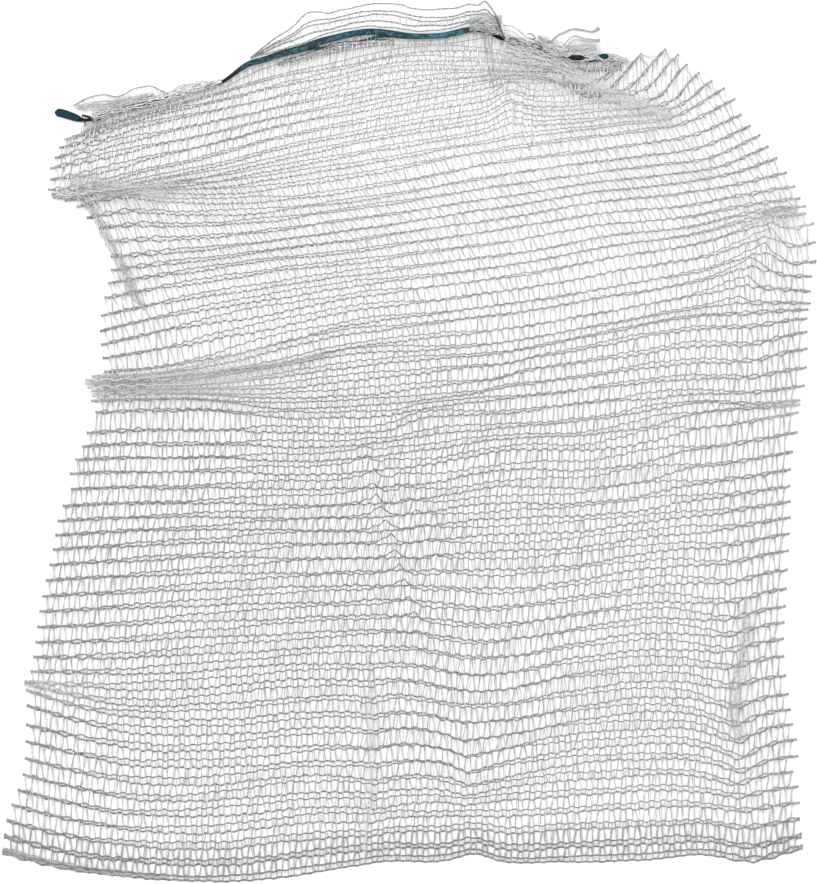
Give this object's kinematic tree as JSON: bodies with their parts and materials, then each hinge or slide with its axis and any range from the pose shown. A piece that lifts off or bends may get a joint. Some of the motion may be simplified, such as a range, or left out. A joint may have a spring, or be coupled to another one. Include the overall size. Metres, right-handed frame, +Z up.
{
  "type": "mesh sack",
  "caption": "Empty knitted net produce sack with a gathered drawstring mouth, lying flat with its front up.",
  "frame": {"origin": "centre of the bounding box's underside, where the sack lies on the ground", "axes": "+Y from the hem to the gathered mouth, +X across the sack to the right as seen, +Z up from the ground"},
  "size_m": [0.4568, 0.4962, 0.0164],
  "materials": {
    "net": "knitted translucent tape yarn",
    "cord": "flat braided cord"
  },
  "bodies": {
    "root": {"net_sack": "net", "drawstring": "cord"}
  },
  "joints": []
}
